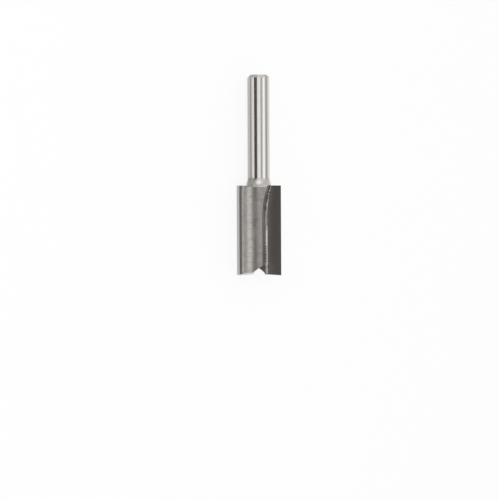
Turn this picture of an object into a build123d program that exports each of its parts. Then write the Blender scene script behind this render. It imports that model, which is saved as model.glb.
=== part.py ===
"""Straight plunge router bit with two carbide tips, lying on a table.

One steel bar is turned to a shank, a short hollow flare and a head. A disc cutter
mills two flutes into the head, half a turn apart, and its round edge leaves the
curved run-out at the top of each. A carbide tip is brazed against the floor of
each flute. The flanks of the tips, the end of the bit and the split in the end
are ground last.

Each piece is drawn in the tool's own frame: its axis on Z with the shank up, the
cutting corners at height 0, and the first tip's cutting edge on +X with its face
towards -Y. The tool cuts clockwise seen from the shank. Everything on the second
side is the first side turned half round the axis. Last of all the bit is laid on
its side, with the shank towards +Y and the table at Z = 0.
"""

import os
from math import acos, atan2, cos, degrees, radians, sin, sqrt, tan

from build123d import *

# Turned bar
cutting_diameter = 12.7
cutting_length = 25.4
overall_length = 56.7
shank_diameter = 6.35
shank_chamfer = 0.85
head_diameter = 10.2
head_rim_chamfer = 0.4
neck_length = 2.05
neck_root_diameter = 7.6
neck_hollow_radius = 6.0

# Milled flutes
flute_wall_offset = 1.73  # from the tool's axis to the wall behind the opposite land
flute_cutter_radius = 30.0
flute_run_out = 9.1  # length over which the wall curves out to the shoulder

# Carbide tips and their braze
tip_thickness = 1.9
face_rake_deg = 3.0
flank_relief_deg = 30.0
braze_film = 0.1  # behind the tip
braze_bead = 0.7  # between the tip's inner edge and the flute wall
braze_climb = 0.25  # how far the bead creeps up the wall in front of the tip's face

# Ground end
end_dish_deg = 3.0
end_relief_deg = 7.0
gash_wheel_radius = 12.5
gash_height = 1.95  # of the gash on the tool's axis
gash_slope_deg = 35.0  # of the gash on the tool's axis
gash_tilt_deg = 4.4  # the gash gets shallower towards the land

cutting_radius = cutting_diameter / 2
head_radius = head_diameter / 2
shank_radius = shank_diameter / 2
neck_root_radius = neck_root_diameter / 2
neck_top = cutting_length + neck_length
run_out_start = cutting_length - flute_run_out
seat_depth = tip_thickness + braze_film
tip_inner_edge = flute_wall_offset + braze_bead
reach = 2 * cutting_diameter  # longer than anything that a cut has to clear
half_turn = Rot(0, 0, 180)


def turned_bar():
    """Shank, flare and head as they leave the lathe, one profile turned round Z."""
    with BuildPart() as bar:
        with BuildSketch(Plane.XZ):
            with BuildLine():
                Polyline(
                    (0, 0),
                    (head_radius, 0),
                    (head_radius, cutting_length - head_rim_chamfer),
                    (head_radius - head_rim_chamfer, cutting_length),
                    (neck_root_radius, cutting_length),
                )
                RadiusArc(
                    (neck_root_radius, cutting_length),
                    (shank_radius, neck_top),
                    neck_hollow_radius,
                )
                Polyline(
                    (shank_radius, neck_top),
                    (shank_radius, overall_length - shank_chamfer),
                    (shank_radius - shank_chamfer, overall_length),
                    (0, overall_length),
                    (0, 0),
                )
            make_face()
        revolve(axis=Axis.Z)
    return bar.part


def wall_at(height):
    """Distance of the flute wall from the axis plane: straight, then the cutter's arc."""
    rise = max(0.0, height - run_out_start)
    return flute_wall_offset + flute_cutter_radius - sqrt(flute_cutter_radius**2 - rise**2)


def cutter_path_angle(inset=0.0):
    """Angle the cutter's arc turns through before it has left the tip's width."""
    return degrees(acos(1 - (reach / 2 - flute_wall_offset) / (flute_cutter_radius - inset)))


def milled_space(floor, inset=0.0):
    """What a disc cutter clears: all beyond the wall and in front of the floor at Y = floor.

    With an inset the wall is that much further out, on a smaller arc round the same
    centre, which is the outline of a tip let into the corner with a gap at its edge.
    """
    wall = flute_wall_offset + inset
    angle = radians(cutter_path_angle(inset))
    radius = flute_cutter_radius - inset
    arc_end = (wall + radius * (1 - cos(angle)), run_out_start + radius * sin(angle))
    with BuildPart() as space:
        with BuildSketch(Plane((0, floor, 0), x_dir=(1, 0, 0), z_dir=(0, -1, 0))):
            with BuildLine():
                Line((wall, -reach), (wall, run_out_start))
                RadiusArc((wall, run_out_start), arc_end, radius)
                Polyline(arc_end, (arc_end[0], -reach), (wall, -reach))
            make_face()
        extrude(amount=reach)
    return space.part


def below_end_face():
    """Half-space under the first tip's end: its edge rises to the axis, its back to the heel."""
    dish = radians(end_dish_deg)
    relief = radians(end_relief_deg)
    along_edge = Vector(-cos(dish), 0, sin(dish))
    behind_edge = Vector(0, cos(relief), sin(relief))
    face = Plane((cutting_radius, 0, 0), x_dir=along_edge, z_dir=along_edge.cross(behind_edge))
    return extrude(face * Rectangle(2 * reach, 2 * reach), amount=reach)


def front_half():
    """Everything on the side of the first tip's face, at Y below 0."""
    return Pos(0, -reach, 0) * Box(4 * reach, 2 * reach, 4 * reach)


def gash_space():
    """The round a grinding wheel takes out of the half in front of the first tip."""
    slope = radians(gash_slope_deg)
    centre = (gash_wheel_radius * sin(slope), 0, gash_height - gash_wheel_radius * cos(slope))
    wheel = Pos(*centre) * Rot(gash_tilt_deg - 90, 0, 0) * Cylinder(gash_wheel_radius, 4 * reach)
    return wheel & front_half()


def both_sides(space):
    """A cut and its copy half a turn round the axis."""
    return space + half_turn * space


def steel_body():
    """The turned bar with its flutes, ground end and split gash."""
    end_face = below_end_face() - front_half()
    body = turned_bar() - both_sides(milled_space(seat_depth))
    body -= both_sides(end_face)
    return body - both_sides(gash_space())


def carbide_tip():
    """First tip: a flat strip, its inner edge on the cutter's arc, ground on flank and end."""
    back = tip_thickness * tan(radians(flank_relief_deg))
    hook = cutting_radius * tan(radians(face_rake_deg))
    section = make_face(
        Polyline(
            (0, hook),
            (cutting_radius, 0),
            (cutting_radius - back, tip_thickness),
            (0, tip_thickness),
            (0, hook),
        )
    )
    strip = extrude(section, amount=cutting_length)
    return (strip & milled_space(tip_thickness, inset=braze_bead)) - below_end_face()


def braze_joint():
    """First joint: a film behind the tip, and a bead that fills the corner beside it."""
    film = turned_bar() & milled_space(seat_depth)
    film -= milled_space(tip_thickness)

    face_inner_edge = (cutting_radius - tip_inner_edge) * tan(radians(face_rake_deg))
    section = make_face(
        Polyline(
            (flute_wall_offset, -braze_climb),
            (tip_inner_edge, face_inner_edge),
            (tip_inner_edge, tip_thickness),
            (flute_wall_offset, tip_thickness),
            (flute_wall_offset, -braze_climb),
        )
    )
    cutter_axis = Axis((flute_wall_offset + flute_cutter_radius, 0, run_out_start), (0, 1, 0))
    straight = extrude(section, amount=run_out_start)
    curved = revolve(Pos(0, 0, run_out_start) * section, cutter_axis, cutter_path_angle())
    shoulder = Pos(0, 0, cutting_length + reach) * Box(4 * reach, 4 * reach, 2 * reach)
    return film + straight + curved - shoulder - below_end_face()


def resting_direction():
    """Direction in the tool's XY plane that faces the table, in degrees from +X.

    The bit rests on the second tip's whole cutting edge and on the rim of the land
    beside it, at the top of the flute, where the run-out leaves the land widest.
    """
    rim = cutting_length - head_rim_chamfer
    across = wall_at(rim)
    land = Vector(-across, sqrt(head_radius**2 - across**2))
    edge = Vector(-cutting_radius, 0)
    span = land - edge
    return degrees(atan2(span.X, -span.Y))


def laid_down(pieces):
    """The pieces turned from the tool's frame to the table, centred on the origin."""
    facing = radians(resting_direction())
    table = Plane((0, 0, 0), x_dir=(sin(facing), 0, -cos(facing)), z_dir=(0, 1, 0))
    turned = {name: table.location * piece for name, piece in pieces.items()}
    box = Compound(list(turned.values())).bounding_box()
    shift = Pos(-box.center().X, -box.center().Y, cutting_radius * -cos(facing))
    return {name: shift * piece for name, piece in turned.items()}


tip = carbide_tip()
joint = braze_joint()
upright = {
    "steel_body": steel_body(),
    "carbide_tip_1": tip,
    "carbide_tip_2": half_turn * tip,
    "braze_joint_1": joint,
    "braze_joint_2": half_turn * joint,
}

os.makedirs("parts", exist_ok=True)
for name, piece in laid_down(upright).items():
    export_step(piece, f"parts/{name}.step")
    box = piece.bounding_box()
    print(name, len(piece.solids()), round(piece.volume, 2), box.min, box.max)
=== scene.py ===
from math import atan2, cos, pi, radians, sin, sqrt, tan

import bmesh
import bpy
import numpy as np
from mathutils import Matrix, Vector


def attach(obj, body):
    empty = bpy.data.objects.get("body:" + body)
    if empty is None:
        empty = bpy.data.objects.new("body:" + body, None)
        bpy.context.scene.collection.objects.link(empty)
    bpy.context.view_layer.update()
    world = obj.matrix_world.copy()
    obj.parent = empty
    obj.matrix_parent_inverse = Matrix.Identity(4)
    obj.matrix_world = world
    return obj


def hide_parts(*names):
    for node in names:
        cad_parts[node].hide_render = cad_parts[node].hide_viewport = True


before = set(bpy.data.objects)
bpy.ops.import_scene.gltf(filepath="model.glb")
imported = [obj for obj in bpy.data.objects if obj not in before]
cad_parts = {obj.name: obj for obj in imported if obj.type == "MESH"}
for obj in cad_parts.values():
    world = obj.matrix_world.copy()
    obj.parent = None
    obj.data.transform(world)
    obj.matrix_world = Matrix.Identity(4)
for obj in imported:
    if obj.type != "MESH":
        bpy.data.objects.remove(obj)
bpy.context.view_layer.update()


# Steel body
# One bar of tool steel: a lathe turns the shank, the hollow flare and the head, and a disc cutter
# mills two flutes into the head, whose round edge leaves the curved run-outs under the shoulder.
# Wheels then grind the shank to size, and the end's relief and its split.

# Millimetres in the tool's own frame: axis on Z with the shank up, cutting corners at height 0,
# and the first tip's cutting edge on +X with its face towards -Y.
OVERALL_LENGTH = 56.7
SHANK_RADIUS = 3.175
SHANK_CHAMFER = 0.85
CUTTING_RADIUS = 6.35
CUTTING_LENGTH = 25.4
HEAD_RADIUS = 5.1
HEAD_RIM_CHAMFER = 0.4
FLARE_LENGTH = 2.05
FLARE_ROOT_RADIUS = 3.8
FLARE_HOLLOW = 6.0
FLUTE_WALL = 1.73
FLUTE_CUTTER_RADIUS = 30.0
RUN_OUT_START = 16.3
SEAT_DEPTH = 2.0
LAND_EDGE_BREAK = 0.22
BAR_FROM = -1  # before the wheels grind its end
SHOULDER_RISE = 0.01  # towards the neck, so that no two of its rings share a plane
CREASE = 0.04  # between the rows that keep the flare's top crisp
FLARE_TOP = CUTTING_LENGTH + FLARE_LENGTH
HEAD_RIM = CUTTING_LENGTH - HEAD_RIM_CHAMFER


def wall_distance(height):
    """Flute wall's distance from the axis: w straight, then the cutter's arc.

    On the arc it is w + R - sqrt(R^2 - rise^2).
    """
    rise = np.clip(height - RUN_OUT_START, 0, FLUTE_CUTTER_RADIUS)
    return FLUTE_WALL + FLUTE_CUTTER_RADIUS - np.sqrt(FLUTE_CUTTER_RADIUS**2 - rise**2)


# The bit lies on the second tip's cutting edge and on the rim of the land beside it, so the
# direction that faces the table is square to the line between those two.
LAND_ACROSS = float(wall_distance(np.array(HEAD_RIM)))
LAND_OUT = sqrt(HEAD_RADIUS**2 - LAND_ACROSS**2)
TABLE_DIRECTION = atan2(CUTTING_RADIUS - LAND_ACROSS, -LAND_OUT)
TOOL_AXES = np.array(
    (
        (sin(TABLE_DIRECTION), 0, -cos(TABLE_DIRECTION)),
        (-cos(TABLE_DIRECTION), 0, -sin(TABLE_DIRECTION)),
        (0, 1, 0),
    )
)
TOOL_ORIGIN = np.array((0, -OVERALL_LENGTH / 2, -CUTTING_RADIUS * cos(TABLE_DIRECTION))) / 1000


def laid_down(points):
    """Points of the tool's frame on the table, in metres: its origin there plus x X + y Y + z Z."""
    return points @ TOOL_AXES / 1000 + TOOL_ORIGIN


def cleaned(mesh):
    """The mesh without doubled points or faces of no area, and with every face turned outwards."""
    merge_distance = 2e-7
    solid = bmesh.new()
    solid.from_mesh(mesh)
    bmesh.ops.remove_doubles(solid, verts=solid.verts, dist=merge_distance)
    bmesh.ops.dissolve_degenerate(solid, edges=solid.edges, dist=merge_distance)
    bmesh.ops.recalc_face_normals(solid, faces=solid.faces)
    solid.to_mesh(mesh)
    solid.free()
    return mesh


def skin(name, rings, zones, cap_zones, materials):
    """Closed mesh from rings of points, shape (rows, columns, 3).

    Quads join each two rows, and a flat cap closes each end.
    """
    rows, columns = rings.shape[:2]
    grid = np.arange(rows * columns).reshape(rows, columns)
    beside = np.roll(grid, -1, axis=1)
    quads = np.stack((grid[:-1], beside[:-1], beside[1:], grid[1:]), axis=-1).reshape(-1, 4)
    caps = [grid[0, ::-1].tolist(), grid[-1].tolist()]
    mesh = bpy.data.meshes.new(name)
    mesh.from_pydata(laid_down(rings.reshape(-1, 3)), [], quads.tolist() + caps)
    faces = np.concatenate((np.broadcast_to(zones, (rows - 1, columns)).ravel(), cap_zones))
    mesh.polygons.foreach_set("material_index", faces.astype(np.int32))
    for material in materials:
        mesh.materials.append(material)
    return cleaned(mesh)


def piece_of(mesh, replaced):
    """Object of a finished mesh, smooth but for its hard edges, in place of its CAD node."""
    mesh.polygons.foreach_set("use_smooth", np.ones(len(mesh.polygons), bool))
    mesh.set_sharp_from_angle(angle=radians(25))
    piece = bpy.data.objects.new(mesh.name, mesh)
    bpy.context.scene.collection.objects.link(piece)
    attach(piece, "root")
    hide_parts(replaced)
    return piece


def flare_radius(height):
    """Hollow flare: a circle of radius H through the root and the shank's foot.

    With its centre at radius c and height d, it is r = c - sqrt(H^2 - (z - d)^2).
    """
    root = np.array((FLARE_ROOT_RADIUS, CUTTING_LENGTH))
    foot = np.array((SHANK_RADIUS, FLARE_TOP))
    chord = foot - root
    half = np.hypot(*chord) / 2
    outward = np.array((chord[1], -chord[0])) / (2 * half)
    centre = (root + foot) / 2 + outward * sqrt(FLARE_HOLLOW**2 - half**2)
    return centre[0] - np.sqrt(FLARE_HOLLOW**2 - (height - centre[1]) ** 2)


def bar_profile():
    """Radius, height and finish of the bar's rows, from below its end to the shank's end.

    The rows are closest where the flute's wall leaves the flare.
    """
    fine = np.linspace(CUTTING_LENGTH, FLARE_TOP, 2001)
    leaves = np.interp(0, wall_distance(fine) - flare_radius(fine), fine)
    straight = np.linspace(BAR_FROM, RUN_OUT_START, 24)
    run_out = np.linspace(RUN_OUT_START, HEAD_RIM, 44)
    head = np.concatenate((straight[:-1], run_out))
    shoulder = np.linspace(HEAD_RADIUS - HEAD_RIM_CHAMFER, FLARE_ROOT_RADIUS, 4)[:-1]
    shoulder_height = np.linspace(CUTTING_LENGTH - SHOULDER_RISE, CUTTING_LENGTH, 4)[:-1]
    notch = leaves - (leaves - CUTTING_LENGTH) * np.linspace(1, 0, 20) ** 2
    hollow = np.linspace(leaves, FLARE_TOP, 14)[1:-1]
    flare = np.concatenate((notch, hollow, [FLARE_TOP - CREASE]))
    along_shank = np.linspace(28, 55, 28)
    shank_end = [OVERALL_LENGTH - SHANK_CHAMFER]
    shank = np.concatenate(([FLARE_TOP, FLARE_TOP + CREASE], along_shank, shank_end))
    stretches = (
        (np.full(len(head), HEAD_RADIUS), head, TUMBLED),
        (shoulder, shoulder_height, TURNED),
        (flare_radius(flare), flare, TURNED),
        (np.full(len(shank), SHANK_RADIUS), shank, GROUND),
        (np.array([SHANK_RADIUS - SHANK_CHAMFER]), np.array([OVERALL_LENGTH]), GROUND),
    )
    radius = np.concatenate([s[0] for s in stretches])
    height = np.concatenate([s[1] for s in stretches])
    finish = np.concatenate([np.full(len(s[1]), s[2]) for s in stretches])
    finish[len(head) - 1] = TURNED
    return radius, height, finish


def milled_outline(radius, wall):
    """Outline across the bar at each height, anticlockwise, and the zone of each column.

    One half is the seat's floor y = -s, the land's arc, its rounded edge, which is a quadratic
    curve with the corner as its control point, and the flute's wall x = w. The other half is the
    first turned half round.
    """
    wall = np.minimum(wall, radius)
    out = np.sqrt(radius**2 - wall**2)
    seat = np.minimum(SEAT_DEPTH, out)
    cut = np.minimum(LAND_EDGE_BREAK, out / 2)
    first = pi + np.arcsin(seat / radius)
    last = 2 * pi - np.arccos(wall / radius) - cut / radius
    rows = (radius, wall, out, seat, cut, first, last)
    radius, wall, out, seat, cut, first, last = (values[:, None] for values in rows)
    along_seat, along_arc, round_edge, along_wall = (
        np.linspace(0, 1, points)[:-1] for points in (7, 97, 13, 15)
    )
    start = np.stack((radius * np.cos(last), radius * np.sin(last)), axis=-1)
    turn = np.stack((wall, -out), axis=-1)
    end = np.stack((wall, cut - out), axis=-1)
    angle = first + (last - first) * along_arc
    t = round_edge[None, :, None]
    seat_end = -np.sqrt(radius**2 - seat**2)
    parts = (
        np.stack((-wall + (seat_end + wall) * along_seat, -seat + 0 * along_seat), axis=-1),
        np.stack((radius * np.cos(angle), radius * np.sin(angle)), axis=-1),
        (1 - t) ** 2 * start + 2 * t * (1 - t) * turn + t**2 * end,
        np.stack((wall + 0 * along_wall, cut - out + (seat - cut + out) * along_wall), axis=-1),
    )
    half = np.concatenate(parts, axis=1)
    is_milled = (True, False, False, True)
    milled = np.concatenate([np.full(p.shape[1], m) for p, m in zip(parts, is_milled)])
    return np.concatenate((half, -half), axis=1), np.tile(milled, 2)


# Ground end: each half's end face rises towards the axis and behind its cutting edge, and a wheel
# splits the end from both sides, deeper towards the cutting edge that it clears.
END_DISH = tan(radians(3))
END_RELIEF = tan(radians(7))
WHEEL_RADIUS = 12.5
SPLIT_HEIGHT = 1.95
SPLIT_SLOPE = radians(35)
SPLIT_TILT = radians(4.4)
WHEEL_OVERLAP = 0.002  # the two rounds pass the middle by this, so that they share no face
WHEEL_SIDE = 7.5  # how far the rounds reach to the sides, to the front and down, clear of the bar
WHEEL_FRONT = -7
WHEEL_BOTTOM = -3
CREASE_WITHIN = (-4, 2)  # on x, where the relief meets the split


def end_height(x, y):
    """Plane of the first tip's end: z = dish (R - x) + relief y. The second is its half turn."""
    return END_DISH * (CUTTING_RADIUS - x) + END_RELIEF * y


def split_height(x, y):
    """Top of the wheel's round, with the wheel's axis tilted by t in the YZ plane.

    It is z = z0 + (y sin t + sqrt(R^2 - (x - x0)^2)) / cos t.
    """
    x0 = WHEEL_RADIUS * sin(SPLIT_SLOPE)
    z0 = SPLIT_HEIGHT - WHEEL_RADIUS * cos(SPLIT_SLOPE)
    return z0 + (y * sin(SPLIT_TILT) + np.sqrt(WHEEL_RADIUS**2 - (x - x0) ** 2)) / cos(SPLIT_TILT)


def ground_away(turn):
    """Space that the wheels clear under one half of the end, y < 0, over a flat bottom.

    Its top is the higher of the relief's plane and the split's round.
    """
    y = np.linspace(WHEEL_OVERLAP, WHEEL_FRONT, 15)[:, None]
    fine = np.linspace(*CREASE_WITHIN, 1201)[None, :]
    gap = split_height(fine, y) - end_height(-fine, -y)
    crease = np.array([np.interp(0, row, fine[0]) for row in gap])[:, None]
    relief = -WHEEL_SIDE + (crease + WHEEL_SIDE) * np.linspace(0, 1, 6)[None, :-1]
    split = crease + (WHEEL_SIDE - crease) * np.linspace(0, 1, 70)[None, :]
    top = np.concatenate(
        (
            np.stack((relief, y + 0 * relief, end_height(-relief, -y)), axis=-1),
            np.stack((split, y + 0 * split, split_height(split, y)), axis=-1),
        ),
        axis=1,
    )
    under = top[:, [-1, 0]] * (1, 1, 0) + (0, 0, WHEEL_BOTTOM)
    return np.concatenate((top, under), axis=1) * (turn, turn, 1)


def linear(colour):
    """sRGB hex colour as linear RGBA: ((c + 0.055) / 1.055)^2.4 above 0.04045, else c / 12.92."""
    c = np.array([int(colour[i : i + 2], 16) for i in (1, 3, 5)]) / 255
    return (*np.where(c > 0.04045, ((c + 0.055) / 1.055) ** 2.4, c / 12.92), 1)


def add_node(tree, kind, inputs=(), **settings):
    """Adds a node with its settings. inputs gives each socket a value, or the output it takes."""
    node = tree.nodes.new(kind)
    for name, value in settings.items():
        setattr(node, name, value)
    for socket, value in dict(inputs).items():
        if isinstance(value, bpy.types.NodeSocket):
            tree.links.new(value, node.inputs[socket])
        else:
            node.inputs[socket].default_value = value
    return node


def bare_metal(name, colour, roughness):
    """A metal, its node tree, its shader, and the tool's frame in millimetres for its patterns."""
    material = bpy.data.materials.new(name)
    material.use_nodes = True
    tree = material.node_tree
    shader = tree.nodes["Principled BSDF"]
    shader.inputs["Metallic"].default_value = 1
    shader.inputs["Base Color"].default_value = linear(colour)
    shader.inputs["Roughness"].default_value = roughness
    place = add_node(tree, "ShaderNodeTexCoord")
    laid = {
        "Vector": place.outputs["Object"],
        "Location": TOOL_ORIGIN,
        "Rotation": Matrix(TOOL_AXES.tolist()).transposed().to_euler(),
        "Scale": (0.001, 0.001, 0.001),
    }
    tool = add_node(tree, "ShaderNodeMapping", laid, vector_type="TEXTURE")
    return material, tree, shader, tool.outputs["Vector"]


def tool_marks(tree, shader, tool, per_mm, depth, detail=3):
    """Relief of depth metres from a noise with so many cells per millimetre along X, Y and Z."""
    stretched = add_node(tree, "ShaderNodeMapping", {"Vector": tool, "Scale": per_mm})
    noise = {"Vector": stretched.outputs[0], "Scale": 1, "Detail": detail, "Roughness": 0.6}
    marks = add_node(tree, "ShaderNodeTexNoise", noise)
    relief = {"Height": marks.outputs["Fac"], "Strength": 1, "Distance": depth}
    bump = add_node(tree, "ShaderNodeBump", relief)
    tree.links.new(bump.outputs[0], shader.inputs["Normal"])


def tint(tree, shader, value, ends, colours):
    """Base colour that goes from the first colour to the second as the value goes between ends."""
    within = {"Value": value, "From Min": ends[0], "From Max": ends[1]}
    level = add_node(tree, "ShaderNodeMapRange", within)
    blend = {"Factor": level.outputs[0], "A": linear(colours[0]), "B": linear(colours[1])}
    tone = add_node(tree, "ShaderNodeMix", blend, data_type="RGBA")
    tree.links.new(tone.outputs[2], shader.inputs["Base Color"])


# Centreless-ground tool steel: bright, with fine grinding lines round the shank that spread a
# reflection a little along it. The lines are 0.02 mm apart, and drawn at 0.15 mm to show.
ground_steel, tree, shader, tool = bare_metal("ground_tool_steel", "#e7e4e2", 0.12)
tool_marks(tree, shader, tool, (0.35, 0.35, 7), 1.2e-6)
haze = {"Vector": tool, "Scale": 0.35, "Detail": 4, "Roughness": 0.65}
cloud = add_node(tree, "ShaderNodeTexNoise", haze)
dullness = {"Value": cloud.outputs["Fac"], "From Min": 0.35, "From Max": 0.7, "To Min": 0.08, "To Max": 0.15}
dull = add_node(tree, "ShaderNodeMapRange", dullness)
tree.links.new(dull.outputs[0], shader.inputs["Roughness"])

# Turned tool steel: the flare, shoulder and rim keep the lathe's feed marks, 0.12 mm apart along
# the profile, which is about the distance out from the axis less the height.
turned_steel, tree, shader, tool = bare_metal("turned_tool_steel", "#e2dfdb", 0.19)
flat = add_node(tree, "ShaderNodeVectorMath", {0: tool, 1: (1, 1, 0)}, operation="MULTIPLY")
out = add_node(tree, "ShaderNodeVectorMath", {0: flat.outputs[0]}, operation="LENGTH")
up = add_node(tree, "ShaderNodeSeparateXYZ", {0: tool})
path = {0: out.outputs["Value"], 1: up.outputs["Z"]}
feed = add_node(tree, "ShaderNodeMath", path, operation="SUBTRACT")
across = add_node(tree, "ShaderNodeCombineXYZ", {"X": feed.outputs[0]})
rings = {"Vector": across.outputs[0], "Scale": 2.6, "Distortion": 0.4, "Detail": 2}
marks = add_node(tree, "ShaderNodeTexWave", rings)
relief = {"Height": marks.outputs["Fac"], "Strength": 1, "Distance": 1.0e-6}
bump = add_node(tree, "ShaderNodeBump", relief)
tree.links.new(bump.outputs[0], shader.inputs["Normal"])

# Tumbled tool steel: the lands were blasted and tumbled after brazing, which leaves a fine satin
# grain of about 0.05 mm, drawn at 0.3 mm, over the lathe's faint rings and uneven patches.
tumbled_steel, tree, shader, tool = bare_metal("tumbled_tool_steel", "#c6c2be", 0.33)
fine = {"Vector": tool, "Scale": 3.4, "Detail": 4, "Roughness": 0.62}
grain = add_node(tree, "ShaderNodeTexNoise", fine)
coarse = {"Vector": tool, "Scale": 0.7, "Detail": 3, "Roughness": 0.55}
patch = add_node(tree, "ShaderNodeTexNoise", coarse)
blend = {"Factor": 0.42, "A": grain.outputs["Fac"], "B": patch.outputs["Fac"]}
both = add_node(tree, "ShaderNodeMix", blend, data_type="FLOAT")
round_bar = add_node(tree, "ShaderNodeMapping", {"Vector": tool, "Scale": (0.25, 0.25, 3.2)})
rings = {"Vector": round_bar.outputs[0], "Scale": 1, "Detail": 3, "Roughness": 0.6}
turned = add_node(tree, "ShaderNodeTexNoise", rings)
blend = {"Factor": 0.22, "A": both.outputs[0], "B": turned.outputs["Fac"]}
mixed = add_node(tree, "ShaderNodeMix", blend, data_type="FLOAT")
tint(tree, shader, mixed.outputs[0], (0.4, 0.6), ("#b0aca8", "#d6d2ce"))
worn = {"Value": patch.outputs["Fac"], "From Min": 0.3, "From Max": 0.7, "To Min": 0.3, "To Max": 0.38}
rough = add_node(tree, "ShaderNodeMapRange", worn)
tree.links.new(rough.outputs[0], shader.inputs["Roughness"])
relief = {"Height": mixed.outputs[0], "Strength": 1, "Distance": 1.8e-5}
bump = add_node(tree, "ShaderNodeBump", relief)
tree.links.new(bump.outputs[0], shader.inputs["Normal"])

# Milled tool steel: flute walls and seats keep the disc cutter's feed marks, 0.3 mm apart.
# Their colour is darker than the ground surfaces, and painted lighter over the last stretch to the
# shoulder: painted light, where the top of the wall would otherwise show dark.
milled_steel, tree, shader, tool = bare_metal("milled_tool_steel", "#9a9591", 0.34)
up = add_node(tree, "ShaderNodeSeparateXYZ", {0: tool})
# Painted light: the colour lightens from 19 mm up to the shoulder at 25 mm.
tint(tree, shader, up.outputs["Z"], (19, 25), ("#9a9591", "#e6e1dc"))
tool_marks(tree, shader, tool, (0.6, 0.6, 3.2), 1.2e-5, detail=4)

# Wheel-ground tool steel: the end's relief and split, with straight grinding lines.
end_steel, tree, shader, tool = bare_metal("wheel_ground_tool_steel", "#cdc9c5", 0.24)
tool_marks(tree, shader, tool, (0.5, 5, 5), 3e-6)

GROUND, TURNED, TUMBLED, MILLED, END = range(5)
steel_finishes = [ground_steel, turned_steel, tumbled_steel, milled_steel, end_steel]
bar_radius, bar_height, bar_finish = bar_profile()
outline, milled_column = milled_outline(bar_radius, wall_distance(bar_height))
levels = np.broadcast_to(bar_height[:, None, None], (*outline.shape[:2], 1))
zones = np.where(milled_column[None, :], MILLED, bar_finish[:-1, None])
rings = np.concatenate((outline, levels), axis=-1)
uncut = skin("milled_bar", rings, zones, (END, GROUND), steel_finishes)
bar = bpy.data.objects.new("milled_bar", uncut)
bpy.context.scene.collection.objects.link(bar)
wheels = []
for turn in (1, -1):
    cut = skin("wheel_round", ground_away(turn), END, (END, END), steel_finishes)
    wheel = bpy.data.objects.new("wheel_round", cut)
    bpy.context.scene.collection.objects.link(wheel)
    grind = bar.modifiers.new("grind", "BOOLEAN")
    grind.operation = "DIFFERENCE"
    grind.solver = "EXACT"
    grind.object = wheel
    wheels.append(wheel)
finished_bar = bar.evaluated_get(bpy.context.evaluated_depsgraph_get())
steel = bpy.data.meshes.new_from_object(finished_bar)
steel.name = "steel_bar"
for scratch in (bar, *wheels):
    bpy.data.objects.remove(scratch)
piece_of(cleaned(steel), "steel_body")


# Carbide tips
# Two flat strips of sintered tungsten carbide, one in each flute with its face on the cutting
# plane. Brazed in first, then ground together with a diamond wheel on the flank and the end.
TIP_THICKNESS = 1.9
BRAZE_GAP = 0.7
FACE_RAKE = tan(radians(3))
FLANK_RELIEF = tan(radians(30))
TIP_EDGE_BREAK = 0.06
GROUND_LENGTH = 2  # from the end up, over which the rings level out from the end's slope
CORNER_POINTS = 5
SIDE_POINTS = 10


def tip_inner_edge(height):
    """Tip's inner edge: the gap's width outside the wall, on a smaller arc round its centre."""
    rise = np.clip(height - RUN_OUT_START, 0, None)
    radius = FLUTE_CUTTER_RADIUS - BRAZE_GAP
    return FLUTE_WALL + FLUTE_CUTTER_RADIUS - np.sqrt(radius**2 - rise**2)


def rounded_outline(corners, cuts):
    """Outline through corners of shape (rows, n, 2), with straight sides.

    Each corner is a quadratic curve that leaves one side cut before the corner and joins the
    next cut after it.
    """
    leaving = np.roll(corners, -1, axis=1) - corners
    leaving /= np.linalg.norm(leaving, axis=-1, keepdims=True)
    cuts = np.array(cuts)[None, :, None]
    begin = (corners - np.roll(leaving, 1, axis=1) * cuts)[:, :, None]
    end = (corners + leaving * cuts)[:, :, None]
    t = np.linspace(0, 1, CORNER_POINTS)[:, None]
    curve = (1 - t) ** 2 * begin + 2 * t * (1 - t) * corners[:, :, None] + t**2 * end
    s = np.linspace(0, 1, SIDE_POINTS + 2)[1:-1, None]
    side = end + (np.roll(begin, -1, axis=1) - end) * s
    return np.concatenate((curve, side), axis=2).reshape(len(corners), -1, 2)


def on_end(outline, height):
    """Rings of an outline at each height, the lowest of them sloped as the ground end is."""
    foot = end_height(outline[..., 0], outline[..., 1])
    level = height + foot * np.clip(1 - height / GROUND_LENGTH, 0, 1)
    return np.concatenate((outline, level[..., None]), axis=-1)


def carbide_strip():
    """Rings of the first tip from the end up, and the zone of each column.

    The sides are the rake face y = rake (R - x), the flank, the back y = t and the inner edge.
    """
    straight = np.linspace(3, RUN_OUT_START, 14)
    curved = np.linspace(17, CUTTING_LENGTH, 34)
    levels = np.concatenate((np.linspace(0, GROUND_LENGTH, 5), straight, curved))
    inner = tip_inner_edge(levels)
    edge = np.full(len(levels), CUTTING_RADIUS)
    heel = np.full(len(levels), CUTTING_RADIUS - TIP_THICKNESS * FLANK_RELIEF)
    corners = np.stack(
        (
            np.stack((inner, FACE_RAKE * (CUTTING_RADIUS - inner)), axis=-1),
            np.stack((edge, 0 * edge), axis=-1),
            np.stack((heel, 0 * heel + TIP_THICKNESS), axis=-1),
            np.stack((inner, 0 * inner + TIP_THICKNESS), axis=-1),
        ),
        axis=1,
    )
    outline = rounded_outline(corners, (TIP_EDGE_BREAK, 0, TIP_EDGE_BREAK, TIP_EDGE_BREAK))
    zones = np.repeat((RAKE, FLANK, SINTERED, SINTERED), CORNER_POINTS + SIDE_POINTS)
    return on_end(outline, levels[:, None]), zones


# Lapped carbide: the face, dark grey and dense, polished to a dull shine with faint lines along
# it. Its colour is painted a little lighter near the axis, a painted reflection.
rake_carbide, tree, shader, tool = bare_metal("lapped_carbide", "#a9a5a1", 0.26)
side = add_node(tree, "ShaderNodeSeparateXYZ", {0: tool})
from_axis = add_node(tree, "ShaderNodeMath", {0: side.outputs["X"]}, operation="ABSOLUTE")
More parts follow.
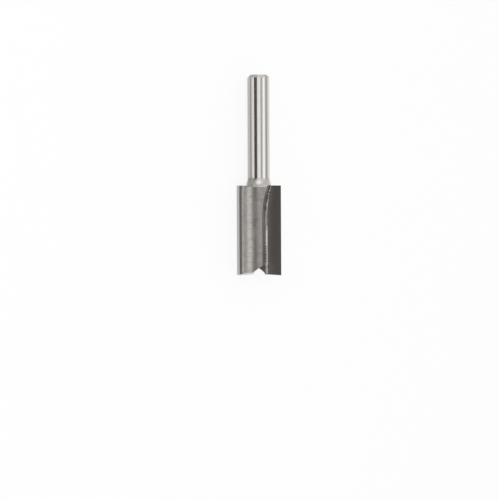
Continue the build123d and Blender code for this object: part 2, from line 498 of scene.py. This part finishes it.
# Painted reflection: the face's colour lightens towards the axis.
tint(tree, shader, from_axis.outputs[0], (2.4, 4.6), ("#c2bebb", "#a5a19d"))
tool_marks(tree, shader, tool, (4, 4, 0.5), 2e-6)

# Diamond-ground carbide: flank and end, bright, with the wheel's lines across the flank.
flank_carbide, tree, shader, tool = bare_metal("diamond_ground_carbide", "#c6c5c7", 0.25)
tool_marks(tree, shader, tool, (0.6, 0.6, 6), 1.5e-6)

# Sintered carbide: back, inner edge and top as they left the furnace, dark and fine-grained.
sintered_carbide, tree, shader, tool = bare_metal("sintered_carbide", "#a09c98", 0.45)
tool_marks(tree, shader, tool, (6, 6, 6), 8e-6)

RAKE, FLANK, SINTERED = range(3)
carbides = [rake_carbide, flank_carbide, sintered_carbide]
strip, strip_zones = carbide_strip()
for turn, name in ((1, "carbide_tip_1"), (-1, "carbide_tip_2")):
    tip = skin(name + "_ground", strip * (turn, turn, 1), strip_zones, (FLANK, SINTERED), carbides)
    piece_of(tip, name)


# Braze joints
# Silver solder under and beside each tip: a film against the seat, and a bead that filled the
# corner between the tip's inner edge and the flute wall, sunk in the middle and lumpy where it set.
FILLET_SLOPE = 2.2
FILLET_END = 0.26  # share of the gap where the steep fillet on the wall gives way to the bead's top
FILLET_BEND = 0.03
FILLET_COLUMNS = 8
TIP_WETTED = 0.015  # how far in front of the tip's face the bead begins
SUNK = 0.04  # the step in which SINKING counts
SINKING = ((19, 22, 24, 25.4), (0, 3, 1, 0.5))  # heights, and how low the bead lies there
UNEVEN_FROM = 19  # the bead's front waves more above this height
# How the bead's top lies along its height: its slope towards the wall, and how crowned it is.
BEAD_TOP = np.array(
    (
        (0, 0.4, 0.1),
        (2.9, 0.4, 0.1),
        (3.9, 0.17, 0.3),
        (8.9, 0.17, 0.3),
        (9.0, 0.2, 0.28),
        (12.7, 0.2, 0.28),
        (13.2, 0.06, 0.15),
        (13.7, 0.13, 0.2),
        (14.3, 0.03, 0.1),
        (18.0, 0.03, 0.1),
        (19.6, 0.3, 0.9),
        (22.2, 0.34, 1.0),
        (23.2, 0.0, 0.2),
        (25.4, 0.0, 0.2),
    )
)
# Near the end the solder set in ripples, whose crests the silver solder paints as a highlight and
# whose hollows it paints as shade: how far apart they are, from which height to which, and each
# one's place across the gap, spread and rise.
RIPPLE = 0.72
RIPPLES_FROM, RIPPLES_TO = 3.9, 8.9
RIPPLE_ACROSS, RIPPLE_SPREAD, RIPPLE_RISE = 0.28, 0.17, 0.15
# Two droplets under the shoulder: height, place across the gap, spread and rise.
DROPLETS = [(22.9, 0.45, 0.22, 0.1), (23.7, 0.55, 0.24, 0.12)]


def bead_drop(u, height, phase):
    """How far the bead lies in front of the tip's edge, per width of the gap.

    From the wall (u = 0) to the tip (u = 1), it is the slope F / (1 + exp((u - e) / b)) + T +
    crown (0.7 - u) summed from u to the tip.
    """
    at_u = np.logaddexp(0, (u - FILLET_END) / FILLET_BEND)
    at_tip = np.logaddexp(0, (1 - FILLET_END) / FILLET_BEND)
    fillet = FILLET_SLOPE * (1 - u + FILLET_BEND * (at_u - at_tip))
    slope = np.interp(height, BEAD_TOP[:, 0], BEAD_TOP[:, 1]) + 0.02 * np.sin(2.9 * height + phase)
    crown = np.interp(height, BEAD_TOP[:, 0], BEAD_TOP[:, 2])
    crown = crown * (1 + 0.06 * np.sin(4.3 * height + 2 * phase))
    return fillet + slope * (1 - u) + crown * (0.7 * (1 - u) - (1 - u**2) / 2)


def solder(phase):
    """Rings of a joint, whose sides follow each other round the tip.

    They are the bead from wall to tip, the tip's inner edge and back, and the seat's film back to
    the wall.
    """
    straight = np.linspace(0, RUN_OUT_START, 250)
    curved = np.linspace(16.4, CUTTING_LENGTH, 130)
    height = np.concatenate((straight, curved))[:, None]
    wall, inner = wall_distance(height), tip_inner_edge(height)
    gap = inner - wall
    u = np.concatenate((np.linspace(0, 0.3, 10)[:-1], np.linspace(0.3, 1, 16)))[None, :]
    tip_face = FACE_RAKE * (CUTTING_RADIUS - inner) - TIP_WETTED
    bead_x = wall + gap * u
    bead_y = tip_face - gap * bead_drop(u, height, phase)
    waving = np.sin(5.1 * height + 3 * phase) * (1 - u)
    bead_y -= 0.01 * waving * np.clip((height - UNEVEN_FROM) / 2, 0.15, 1)
    bead_y += SUNK * np.interp(height, *SINKING) * np.clip(5 * (1 - u), 0, 1)
    ripples = np.arange(RIPPLES_FROM, RIPPLES_TO, RIPPLE)
    ripples = ripples + 0.1 * np.sin(5.1 * np.arange(len(ripples)) + phase)
    lumps = [(at, RIPPLE_ACROSS, RIPPLE_SPREAD, RIPPLE_RISE) for at in ripples]
    for along, across, spread, rise in lumps + DROPLETS:
        away = ((height - along) ** 2 + (bead_x - wall - gap * across) ** 2) / spread**2
        bead_y -= rise * np.exp(-away) * np.clip(4 * (1 - u), 0, 1)
    bead_y[:, -1:] = tip_face

    rim = np.minimum(HEAD_RADIUS, HEAD_RADIUS + HEAD_RIM - height)
    back_rim = np.sqrt(rim**2 - TIP_THICKNESS**2)
    seat_rim = np.sqrt(rim**2 - SEAT_DEPTH**2)
    s = np.linspace(0, 1, 7)[None, 1:]
    level = 0 * s + 0 * height
    outline = np.concatenate(
        (
            np.stack((bead_x, bead_y), axis=-1),
            np.stack((inner + 0 * s, tip_face + (TIP_THICKNESS - tip_face) * s), axis=-1),
            np.stack((inner + (back_rim - inner) * s, TIP_THICKNESS + level), axis=-1),
            np.stack((seat_rim, SEAT_DEPTH + 0 * height), axis=-1),
            np.stack((seat_rim + (wall - seat_rim) * s, SEAT_DEPTH + level), axis=-1),
            np.stack((wall + 0 * s, SEAT_DEPTH + (bead_y[:, :1] - SEAT_DEPTH) * s), axis=-1)[:, :-1],
        ),
        axis=1,
    )
    return on_end(outline, height)


# Silver solder: pale, faintly yellow, and smooth where it flowed. Where it set in ripples, a wave
# along the tool's axis paints a highlight on the crests and shade in the hollows. A wave texture
# repeats every 0.314 over its scale.
silver_braze, tree, shader, tool = bare_metal("silver_solder", "#d0cdca", 0.14)
tool_marks(tree, shader, tool, (2.2, 2.2, 2.2), 1.5e-5, detail=4)
place = add_node(tree, "ShaderNodeSeparateXYZ", {0: tool})
axis = add_node(tree, "ShaderNodeCombineXYZ", {"X": place.outputs["Z"]})
waves = {"Vector": axis.outputs[0], "Scale": 0.314 / RIPPLE, "Distortion": 2.5, "Detail": 2}
ripple = add_node(tree, "ShaderNodeTexWave", waves)
after = {"Value": place.outputs["Z"], "From Min": 3, "From Max": 3.8}
begins = add_node(tree, "ShaderNodeMapRange", after)
before = {"Value": place.outputs["Z"], "From Min": 9.1, "From Max": 8.8}
ends = add_node(tree, "ShaderNodeMapRange", before)
both = {0: begins.outputs[0], 1: ends.outputs[0]}
inside = add_node(tree, "ShaderNodeMath", both, operation="MULTIPLY")
rippled = {"Factor": ripple.outputs["Fac"], "A": linear("#fdfaf7"), "B": linear("#76726f")}
crest = add_node(tree, "ShaderNodeMix", rippled, data_type="RGBA")
where = {"Factor": inside.outputs[0], "A": linear("#d0cdca"), "B": crest.outputs[2]}
tone = add_node(tree, "ShaderNodeMix", where, data_type="RGBA")
tree.links.new(tone.outputs[2], shader.inputs["Base Color"])

# Solder where it crept up the wall: a thin fillet, painted dark as the shade in the corner between
# the bead and the wall, about as dark as the steel, with blotches.
shaded_fillet_solder, tree, shader, tool = bare_metal("fillet_solder_painted_shade", "#8f8b87", 0.45)
blotches = {"Vector": tool, "Scale": 3, "Detail": 4, "Roughness": 0.65}
shade_blotches = add_node(tree, "ShaderNodeTexNoise", blotches)
tint(tree, shader, shade_blotches.outputs["Fac"], (0.35, 0.65), ("#7d7975", "#a29e9a"))

SILVER, FILLET_SHADE = range(2)
for turn, name in ((1, "braze_joint_1"), (-1, "braze_joint_2")):
    rings = solder(0.6 * turn) * (turn, turn, 1)
    # The fillet's columns next to the wall take the painted shade.
    zones = np.where(np.arange(rings.shape[1]) < FILLET_COLUMNS, FILLET_SHADE, SILVER)
    joint = skin(name + "_set", rings, zones, (SILVER, SILVER), [silver_braze, shaded_fillet_solder])
    piece_of(joint, name)


# Table and light
# A matt white table in a white room, which the bright metal shows as long soft boxes with dark
# gaps between them, and one soft lamp nearly overhead that gives the shadow.
TABLE_WIDTH = 6000.0
SEEN_GLOW = 0.85  # share of the table that glows evenly for the camera, over its shaded rest
MIRRORED_GLOW = 0.5  # the same in the metal's reflections


def flat_sheet(name, corner, side, other, material):
    """Flat sheet from a corner and its two sides, in millimetres."""
    corner, side, other = (Vector(v) / 1000 for v in (corner, side, other))
    mesh = bpy.data.meshes.new(name)
    points = (corner, corner + side, corner + side + other, corner + other)
    mesh.from_pydata(points, [], [(0, 1, 2, 3)])
    mesh.materials.append(material)
    sheet = bpy.data.objects.new(name, mesh)
    bpy.context.scene.collection.objects.link(sheet)
    return sheet


white_board = bpy.data.materials.new("white_board")
white_board.use_nodes = True
tree = white_board.node_tree
tree.nodes.remove(tree.nodes["Principled BSDF"])
ray = add_node(tree, "ShaderNodeLightPath")
board = add_node(tree, "ShaderNodeBsdfDiffuse", {"Color": linear("#f4f4f3")})
glow = add_node(tree, "ShaderNodeEmission", {"Color": (1, 1, 1, 1), "Strength": 1})
camera_rays = {0: ray.outputs["Is Camera Ray"], 1: SEEN_GLOW}
seen = add_node(tree, "ShaderNodeMath", camera_rays, operation="MULTIPLY")
glossy_rays = {0: ray.outputs["Is Glossy Ray"], 1: MIRRORED_GLOW, 2: seen.outputs[0]}
share = add_node(tree, "ShaderNodeMath", glossy_rays, operation="MULTIPLY_ADD")
blend = {0: share.outputs[0], 1: board.outputs[0], 2: glow.outputs[0]}
mixed = add_node(tree, "ShaderNodeMixShader", blend)
tree.links.new(mixed.outputs[0], tree.nodes["Material Output"].inputs["Surface"])
table_corner = (-TABLE_WIDTH / 2, -TABLE_WIDTH / 2, 0)
table_sides = (TABLE_WIDTH, 0, 0), (0, TABLE_WIDTH, 0)
table_top = flat_sheet("table_top", table_corner, *table_sides, white_board)

# Grey cards seen only in the metal, each with a corner, two sides in millimetres, a colour and
# its own glow. Those along the bit, under it and beyond the shank draw the bands at its left edge,
# two stand across in front of the flare, and two lie past the end for the chamfer to show. The
# card under the second tip's flank glows, because the bit shades it.
CARDS = (
    ("card_along_shank", (-14.5, -2.6, 0.2), (7.3, 0, 0), (0, 46, 0), "#a8a5a3", 0),
    ("card_along_head", (-14.5, -45, 0.2), (7.3, 0, 0), (0, 42.4, 0), "#c3c0bd", 0),
    ("card_beside_head", (-7.2, -34, 0.02), (2, 0, 0), (0, 31.4, 0), "#e6e4e2", 0),
    ("card_under_flank", (-5.2, -34, 0.02), (1.2, 0, 0), (0, 31.4, 0), "#e6e4e2", 0.25),
    ("card_beyond_shank", (-110, -0.5, 0.1), (95, 0, 0), (0, 43.9, 0), "#e7e5e3", 0),
    ("card_under_shank", (-7.2, -2.6, 0.2), (4.4, 0, 0), (0, 32, 0), "#d9d7d5", 0),
    ("card_at_flare", (-4.7, -0.6, 0.3), (1.2, 0, 0), (0, 0, 6.2), "#b4b1ae", 0),
    ("card_past_flare", (-14.5, -0.6, 0.3), (9.8, 0, 0), (0, 0, 6.2), "#cecbc8", 0),
    ("card_past_end", (-14, 29.6, 0.2), (54, 0, 0), (0, 20, 0), "#bab7b5", 0),
    ("card_beyond_end", (-30, 49.7, 0.2), (150, 0, 0), (0, 100, 0), "#bab7b5", 0),
)
for name, corner, side, other, colour, own_glow in CARDS:
    matt_card = bpy.data.materials.new(name)
    matt_card.use_nodes = True
    shader = matt_card.node_tree.nodes["Principled BSDF"]
    shader.inputs["Base Color"].default_value = linear(colour)
    shader.inputs["Roughness"].default_value = 0.9
    shader.inputs["Emission Color"].default_value = linear(colour)
    shader.inputs["Emission Strength"].default_value = own_glow
    held = flat_sheet(name, corner, side, other, matt_card)
    for kind in ("camera", "diffuse", "shadow", "transmission"):
        setattr(held, "visible_" + kind, False)

# The room as rings of light round the bit: each stop is an angle from straight up towards +X and
# the light from there, and the rings follow each other from the cutting end to the shank's end.
# Each lies at one Y of a direction of length 1. The first four were fitted by least squares to
# the photograph's average tones across the metal, and the others given after comparing them.
RING_AT = (-0.55, -0.16, 0, 0.16, 0.27, 0.42, 0.59, 0.76)
LEVEL_HALF_WIDTH = 0.05  # the ring at 0 keeps its light so far to both sides
RINGS = (
    (  # far towards the cutting end
        (-95, "#979695"), (-76, "#3f3c3a"), (-63, "#3f3c3a"), (25, "#3f3c3a"), (45, "#53504e"),
        (95, "#888786"),
    ),
    (  # towards the cutting end
        (-95, "#fdfcfb"), (-78, "#fffefd"), (-69, "#8e8d8c"), (-62, "#23201e"), (3, "#23201e"),
        (15, "#33302e"), (35, "#c7c6c5"), (60, "#fbfaf9"), (95, "#fbfaf9"),
    ),
    (  # level with the bit
        (-95, "#fbfaf9"), (-88, "#d1d0cf"), (-83, "#23201e"), (-76, "#23201e"), (-69, "#5b5856"),
        (-58, "#363331"), (-51, "#d8d7d6"), (-38, "#dad9d8"), (-27, "#e1e0df"), (-20, "#c7c6c5"),
        (-14, "#838281"), (-8, "#a4a3a2"), (3, "#c4c3c2"), (11, "#f0efee"), (21, "#f0efee"),
        (28, "#d1d0cf"), (36, "#aaa9a8"), (46, "#848382"), (56, "#a1a09f"), (68, "#c4c3c2"),
        (80, "#d1d0cf"), (95, "#b5b4b3"),
    ),
    (  # towards the shank
        (-95, "#23201e"), (-57, "#23201e"), (-39, "#23201e"), (-30, "#353230"), (-21, "#e2e1e0"),
        (-9, "#8d8c8b"), (0, "#b3b2b1"), (15, "#d4d3d2"), (28, "#dedddc"), (42, "#898887"),
        (60, "#a5a4a3"), (95, "#c1c0bf"),
    ),
    (  # up the shank, at the flare's top
        (-95, "#5d5a58"), (-80, "#676462"), (-66, "#807d7b"), (-57, "#b0afae"), (-47, "#d8d7d6"),
        (-30, "#d8d7d6"), (-18, "#bab9b8"), (0, "#c4c3c2"), (20, "#c9c8c7"), (40, "#a6a5a4"),
        (95, "#bfbebd"),
    ),
    (  # further up the shank
        (-95, "#716e6c"), (-88, "#888786"), (-67, "#9c9b9a"), (-57, "#bab9b8"), (-47, "#cccbca"),
        (-27, "#cccbca"), (-7, "#bcbbba"), (26, "#c1c0bf"), (50, "#b7b6b5"), (95, "#c1c0bf"),
    ),
    (  # far up the shank
        (-95, "#838281"), (-86, "#a1a09f"), (-76, "#b7b6b5"), (-66, "#d8d7d6"), (-54, "#f6f5f4"),
        (-37, "#fffffe"), (-25, "#f6f5f4"), (-9, "#d6d5d4"), (1, "#bfbebd"), (12, "#adacab"),
        (34, "#a3a2a1"), (60, "#b6b5b4"), (95, "#bfbebd"),
    ),
    (  # nearly along the shank
        (-95, "#888786"), (-73, "#8f8e8d"), (-55, "#a6a5a4"), (-46, "#bfbebd"), (-29, "#b5b4b3"),
        (-20, "#a8a7a6"), (-2, "#a8a7a6"), (17, "#c4c3c2"), (38, "#cecdcc"), (66, "#c2c1c0"),
        (95, "#b2b1b0"),
    ),
)
ROOM_STRENGTH = 1.35
ROOM_LIGHT = 0.81  # what the room sheds on matt surfaces, the same from everywhere
END_WALL_FROM, END_WALL_FULL = -0.6, -0.85  # a plain wall closes the room past the cutting end
world = bpy.data.worlds.new("studio")
bpy.context.scene.world = world
world.use_nodes = True
tree = world.node_tree
place = add_node(tree, "ShaderNodeTexCoord")
part = add_node(tree, "ShaderNodeSeparateXYZ", {0: place.outputs["Generated"]})
sideways = {0: part.outputs["X"], 1: part.outputs["Z"]}
angle = add_node(tree, "ShaderNodeMath", sideways, operation="ARCTAN2")
full_circle = {"Value": angle.outputs[0], "From Min": -pi, "From Max": pi}
round_bit = add_node(tree, "ShaderNodeMapRange", full_circle)


def ring_of_light(stops):
    """Light of one ring as a colour ramp over the angle from -180 to 180 degrees."""
    ramp = add_node(tree, "ShaderNodeValToRGB", {"Fac": round_bit.outputs[0]})
    ends = ramp.color_ramp.elements
    ends[0].color, ends[1].color = linear(stops[0][1]), linear(stops[-1][1])
    for turned, colour in stops:
        ends.new((turned + 180) / 360).color = linear(colour)
    return ramp.outputs[0]


def blended(share, light, other):
    """Light that gives way to the other one by a share from 0 to 1."""
    blend = {"Factor": share, "A": light, "B": other}
    return add_node(tree, "ShaderNodeMix", blend, data_type="RGBA").outputs[2]


light = ring_of_light(RINGS[0])
for before, at, stops in zip(RING_AT, RING_AT[1:], RINGS[1:]):
    begins = before + LEVEL_HALF_WIDTH if before == 0 else before
    ends = at - LEVEL_HALF_WIDTH if at == 0 else at
    reach = {"Value": part.outputs["Y"], "From Min": begins, "From Max": ends}
    share = add_node(tree, "ShaderNodeMapRange", reach)
    light = blended(share.outputs[0], light, ring_of_light(stops))
reach = {"Value": part.outputs["Y"], "From Min": END_WALL_FROM, "From Max": END_WALL_FULL}
share = add_node(tree, "ShaderNodeMapRange", reach)
light = blended(share.outputs[0], light, linear("#a3a19f"))
ray = add_node(tree, "ShaderNodeLightPath")
shed, white = ((*[level / ROOM_STRENGTH] * 3, 1) for level in (ROOM_LIGHT, 1))
light = blended(ray.outputs["Is Diffuse Ray"], light, shed)
light = blended(ray.outputs["Is Camera Ray"], light, white)
tree.links.new(light, tree.nodes["Background"].inputs["Color"])
tree.nodes["Background"].inputs["Strength"].default_value = ROOM_STRENGTH

lamp = bpy.data.lights.new("soft_box", "AREA")
lamp.shape = "DISK"
lamp.size = 0.5
lamp.energy = 2.2
soft_box = bpy.data.objects.new("soft_box", lamp)
soft_box.visible_glossy = False
lamp_place = Vector((-0.48, 0.12, 0.7))
lamp_turn = lamp_place.to_track_quat("Z", "Y").to_matrix().to_4x4()
soft_box.matrix_world = Matrix.Translation(lamp_place) @ lamp_turn
bpy.context.scene.collection.objects.link(soft_box)


# Camera
# It looks across the bit at the first tip's face, turned 10 degrees past square so that the flute
# wall and the second tip's flank show, with the shank up in the picture.
VIEW_TURN = radians(10.3)
VIEW_RISE = radians(1)
VIEW_ROLL = radians(-0.27)
DISTANCE = 0.9
PIXELS_PER_METRE = 3535
PICTURE = (498, 500)
MIDDLE_AT = (258.7, 175.1)


def tool_direction(angle):
    """Direction across the tool at an angle from its X axis: cos X + sin Y."""
    return Vector(cos(angle) * TOOL_AXES[0] + sin(angle) * TOOL_AXES[1])


across_face = tool_direction(VIEW_TURN - radians(90))
towards = across_face * cos(VIEW_RISE) + Vector((0, 1, 0)) * sin(VIEW_RISE)
right = tool_direction(VIEW_TURN)
level_view = Matrix((right, towards.cross(right).normalized(), towards)).transposed()
view = level_view @ Matrix.Rotation(VIEW_ROLL, 3, "Z")
aim = Vector((0, 0, TOOL_ORIGIN[2]))
aim -= view.col[0] * (MIDDLE_AT[0] - PICTURE[0] / 2) / PIXELS_PER_METRE
aim += view.col[1] * (MIDDLE_AT[1] - PICTURE[1] / 2) / PIXELS_PER_METRE
lens = bpy.data.cameras.new("camera")
lens.lens = lens.sensor_width * PIXELS_PER_METRE * DISTANCE / max(PICTURE)
lens.clip_start = 0.01
camera = bpy.data.objects.new("camera", lens)
camera.matrix_world = Matrix.Translation(aim + towards * DISTANCE) @ view.to_4x4()
bpy.context.scene.collection.objects.link(camera)
bpy.context.scene.camera = camera
bpy.context.scene.view_settings.view_transform = "Standard"
